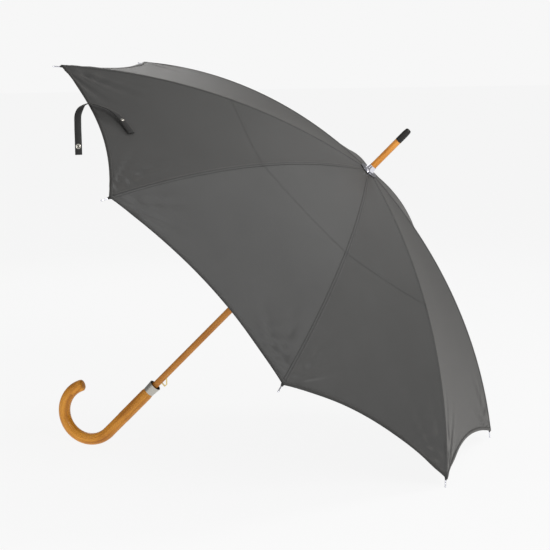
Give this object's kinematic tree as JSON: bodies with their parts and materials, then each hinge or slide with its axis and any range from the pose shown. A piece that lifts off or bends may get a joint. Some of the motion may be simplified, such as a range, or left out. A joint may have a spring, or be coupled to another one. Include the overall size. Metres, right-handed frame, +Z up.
{
  "type": "stick umbrella",
  "caption": "Open stick umbrella with a charcoal fabric cover on folding steel ribs and stretchers, a sliding runner, sprung catches, a wooden shaft and a wooden crook handle.",
  "frame": {"origin": "on the floor under the middle of the part, which rests open on its crook and its lowest rib tips", "axes": "+Z up from the floor, +X from the crook towards the canopy, Y across the canopy"},
  "size_m": [0.8148, 1.0214, 0.7384],
  "materials": {
    "wood_shaft": "varnished",
    "wood_crook": "varnished",
    "nickel": "satin",
    "black_cap": "gloss",
    "chrome": "polished",
    "rib_steel": "satin",
    "wire": "satin",
    "brass": "polished",
    "cover": "woven",
    "strap": "woven",
    "notch_black": "matte"
  },
  "bodies": {
    "frame": {"shaft": "wood_shaft", "crook_handle": "wood_crook", "tip_cup": "nickel", "cup_liner": "notch_black", "top_notch": "notch_black", "notch_wire": "wire", "crown_cap": "chrome", "ferrule_cap": "black_cap", "stop_pin": "brass", "top_spring_pin": "brass", "hand_spring_pin": "brass"},
    "top_catch": {"top_spring": "brass"},
    "hand_catch": {"hand_spring": "brass"},
    "runner": {"runner": "nickel", "runner_wire": "wire"},
    "rib_1": {"rib_1": "rib_steel", "canopy_1": "cover"},
    "outer_1": {"outer_rib_1": "rib_steel", "rib_tip_1": "chrome"},
    "stretcher_1": {"stretcher_1": "rib_steel"},
    "rib_2": {"rib_2": "rib_steel", "canopy_2": "cover"},
    "outer_2": {"outer_rib_2": "rib_steel", "rib_tip_2": "chrome"},
    "stretcher_2": {"stretcher_2": "rib_steel"},
    "rib_3": {"rib_3": "rib_steel", "canopy_3": "cover"},
    "outer_3": {"outer_rib_3": "rib_steel", "rib_tip_3": "chrome"},
    "stretcher_3": {"stretcher_3": "rib_steel"},
    "rib_4": {"rib_4": "rib_steel", "canopy_4": "cover"},
    "outer_4": {"outer_rib_4": "rib_steel", "rib_tip_4": "chrome"},
    "stretcher_4": {"stretcher_4": "rib_steel"},
    "rib_5": {"rib_5": "rib_steel", "canopy_5": "cover"},
    "outer_5": {"outer_rib_5": "rib_steel", "rib_tip_5": "chrome", "tie_strap": "strap", "strap_stud": "nickel", "strap_snap": "nickel"},
    "stretcher_5": {"stretcher_5": "rib_steel"},
    "rib_6": {"rib_6": "rib_steel", "canopy_6": "cover"},
    "outer_6": {"outer_rib_6": "rib_steel", "rib_tip_6": "chrome"},
    "stretcher_6": {"stretcher_6": "rib_steel"},
    "rib_7": {"rib_7": "rib_steel", "canopy_7": "cover"},
    "outer_7": {"outer_rib_7": "rib_steel", "rib_tip_7": "chrome"},
    "stretcher_7": {"stretcher_7": "rib_steel"},
    "rib_8": {"rib_8": "rib_steel", "canopy_8": "cover"},
    "outer_8": {"outer_rib_8": "rib_steel", "rib_tip_8": "chrome"},
    "stretcher_8": {"stretcher_8": "rib_steel"}
  },
  "joints": [
    {"name": "canopy_fold", "type": "hinge", "parent": "frame", "child": "rib_1", "pos_m": [0.22884, 0.00421, 0.52415], "axis": [-0.2651, 0.9239, 0.276], "range_deg": [0, 73.19], "deforming": ["canopy_1", "canopy_2", "canopy_3", "canopy_4", "canopy_5", "canopy_6", "canopy_7", "canopy_8", "tie_strap", "top_spring", "hand_spring"]},
    {"name": "rib_flex_1", "type": "hinge", "parent": "rib_1", "child": "outer_1", "pos_m": [0.34832, 0.10499, 0.30155], "axis": [-0.2651, 0.9239, 0.276], "range_deg": [-11.93, 0]},
    {"name": "stretcher_fold_1", "type": "hinge", "parent": "rib_1", "child": "stretcher_1", "pos_m": [0.34832, 0.10499, 0.30155], "axis": [-0.2651, 0.9239, 0.276], "range_deg": [-146.4, 0]},
    {"name": "runner_pivot", "type": "hinge", "parent": "stretcher_1", "child": "runner", "pos_m": [0.1307, 0.00421, 0.42987], "axis": [-0.2651, 0.9239, 0.276], "range_deg": [0, 73.2]},
    {"name": "rib_fold_2", "type": "hinge", "parent": "frame", "child": "rib_2", "pos_m": [0.22472, 0.01016, 0.52844], "axis": [-0.64, 0.3827, 0.6663], "range_deg": [0, 73.19]},
    {"name": "rib_flex_2", "type": "hinge", "parent": "rib_2", "child": "outer_2", "pos_m": [0.24546, 0.25347, 0.40862], "axis": [-0.64, 0.3827, 0.6663], "range_deg": [-11.93, 0]},
    {"name": "stretcher_fold_2", "type": "hinge", "parent": "rib_2", "child": "stretcher_2", "pos_m": [0.24546, 0.25347, 0.40862], "axis": [-0.64, 0.3827, 0.6663], "range_deg": [-146.4, 0]},
    {"name": "rib_fold_3", "type": "hinge", "parent": "frame", "child": "rib_3", "pos_m": [0.21888, 0.01016, 0.53451], "axis": [-0.64, -0.3827, 0.6663], "range_deg": [0, 73.19]},
    {"name": "rib_flex_3", "type": "hinge", "parent": "rib_3", "child": "outer_3", "pos_m": [0.09999, 0.25347, 0.56005], "axis": [-0.64, -0.3827, 0.6663], "range_deg": [-11.93, 0]},
    {"name": "stretcher_fold_3", "type": "hinge", "parent": "rib_3", "child": "stretcher_3", "pos_m": [0.09999, 0.25347, 0.56005], "axis": [-0.64, -0.3827, 0.6663], "range_deg": [-146.4, 0]},
    {"name": "rib_fold_4", "type": "hinge", "parent": "frame", "child": "rib_4", "pos_m": [0.21476, 0.00421, 0.53881], "axis": [-0.2651, -0.9239, 0.276], "range_deg": [0, 73.19]},
    {"name": "rib_flex_4", "type": "hinge", "parent": "rib_4", "child": "outer_4", "pos_m": [-0.00287, 0.10499, 0.66713], "axis": [-0.2651, -0.9239, 0.276], "range_deg": [-11.93, 0]},
    {"name": "stretcher_fold_4", "type": "hinge", "parent": "rib_4", "child": "stretcher_4", "pos_m": [-0.00287, 0.10499, 0.66713], "axis": [-0.2651, -0.9239, 0.276], "range_deg": [-146.4, 0]},
    {"name": "rib_fold_5", "type": "hinge", "parent": "frame", "child": "rib_5", "pos_m": [0.21476, -0.00421, 0.53881], "axis": [0.2651, -0.9239, -0.276], "range_deg": [0, 73.19]},
    {"name": "rib_flex_5", "type": "hinge", "parent": "rib_5", "child": "outer_5", "pos_m": [-0.00287, -0.10499, 0.66713], "axis": [0.2651, -0.9239, -0.276], "range_deg": [-11.93, 0]},
    {"name": "stretcher_fold_5", "type": "hinge", "parent": "rib_5", "child": "stretcher_5", "pos_m": [-0.00287, -0.10499, 0.66713], "axis": [0.2651, -0.9239, -0.276], "range_deg": [-146.4, 0]},
    {"name": "rib_fold_6", "type": "hinge", "parent": "frame", "child": "rib_6", "pos_m": [0.21888, -0.01016, 0.53451], "axis": [0.64, -0.3827, -0.6663], "range_deg": [0, 73.19]},
    {"name": "rib_flex_6", "type": "hinge", "parent": "rib_6", "child": "outer_6", "pos_m": [0.09999, -0.25347, 0.56005], "axis": [0.64, -0.3827, -0.6663], "range_deg": [-11.93, 0]},
    {"name": "stretcher_fold_6", "type": "hinge", "parent": "rib_6", "child": "stretcher_6", "pos_m": [0.09999, -0.25347, 0.56005], "axis": [0.64, -0.3827, -0.6663], "range_deg": [-146.4, 0]},
    {"name": "rib_fold_7", "type": "hinge", "parent": "frame", "child": "rib_7", "pos_m": [0.22472, -0.01016, 0.52844], "axis": [0.64, 0.3827, -0.6663], "range_deg": [0, 73.19]},
    {"name": "rib_flex_7", "type": "hinge", "parent": "rib_7", "child": "outer_7", "pos_m": [0.24546, -0.25347, 0.40862], "axis": [0.64, 0.3827, -0.6663], "range_deg": [-11.93, 0]},
    {"name": "stretcher_fold_7", "type": "hinge", "parent": "rib_7", "child": "stretcher_7", "pos_m": [0.24546, -0.25347, 0.40862], "axis": [0.64, 0.3827, -0.6663], "range_deg": [-146.4, 0]},
    {"name": "rib_fold_8", "type": "hinge", "parent": "frame", "child": "rib_8", "pos_m": [0.22884, -0.00421, 0.52415], "axis": [0.2651, 0.9239, -0.276], "range_deg": [0, 73.19]},
    {"name": "rib_flex_8", "type": "hinge", "parent": "rib_8", "child": "outer_8", "pos_m": [0.34832, -0.10499, 0.30155], "axis": [0.2651, 0.9239, -0.276], "range_deg": [-11.93, 0]},
    {"name": "stretcher_fold_8", "type": "hinge", "parent": "rib_8", "child": "stretcher_8", "pos_m": [0.34832, -0.10499, 0.30155], "axis": [0.2651, 0.9239, -0.276], "range_deg": [-146.4, 0]},
    {"name": "top_spring_press", "type": "hinge", "parent": "frame", "child": "top_catch", "pos_m": [0.0731, 0, 0.38391], "axis": [0, 1, 0], "range_deg": [-23, 0], "stiffness_Nm_per_rad": 0.02},
    {"name": "hand_spring_press", "type": "hinge", "parent": "frame", "child": "hand_catch", "pos_m": [-0.17604, 0, 0.14459], "axis": [0, 1, 0], "range_deg": [0, 23], "stiffness_Nm_per_rad": 0.02}
  ],
  "couplings": [
    {"joint": "rib_flex_1", "follows": "canopy_fold", "ratio": -0.16286},
    {"joint": "stretcher_fold_1", "follows": "canopy_fold", "ratio": -2},
    {"joint": "runner_pivot", "follows": "canopy_fold", "ratio": 1},
    {"joint": "rib_fold_2", "follows": "canopy_fold", "ratio": 1},
    {"joint": "rib_flex_2", "follows": "canopy_fold", "ratio": -0.16286},
    {"joint": "stretcher_fold_2", "follows": "canopy_fold", "ratio": -2},
    {"joint": "rib_fold_3", "follows": "canopy_fold", "ratio": 1},
    {"joint": "rib_flex_3", "follows": "canopy_fold", "ratio": -0.16286},
    {"joint": "stretcher_fold_3", "follows": "canopy_fold", "ratio": -2},
    {"joint": "rib_fold_4", "follows": "canopy_fold", "ratio": 1},
    {"joint": "rib_flex_4", "follows": "canopy_fold", "ratio": -0.16286},
    {"joint": "stretcher_fold_4", "follows": "canopy_fold", "ratio": -2},
    {"joint": "rib_fold_5", "follows": "canopy_fold", "ratio": 1},
    {"joint": "rib_flex_5", "follows": "canopy_fold", "ratio": -0.16286},
    {"joint": "stretcher_fold_5", "follows": "canopy_fold", "ratio": -2},
    {"joint": "rib_fold_6", "follows": "canopy_fold", "ratio": 1},
    {"joint": "rib_flex_6", "follows": "canopy_fold", "ratio": -0.16286},
    {"joint": "stretcher_fold_6", "follows": "canopy_fold", "ratio": -2},
    {"joint": "rib_fold_7", "follows": "canopy_fold", "ratio": 1},
    {"joint": "rib_flex_7", "follows": "canopy_fold", "ratio": -0.16286},
    {"joint": "stretcher_fold_7", "follows": "canopy_fold", "ratio": -2},
    {"joint": "rib_fold_8", "follows": "canopy_fold", "ratio": 1},
    {"joint": "rib_flex_8", "follows": "canopy_fold", "ratio": -0.16286},
    {"joint": "stretcher_fold_8", "follows": "canopy_fold", "ratio": -2}
  ]
}
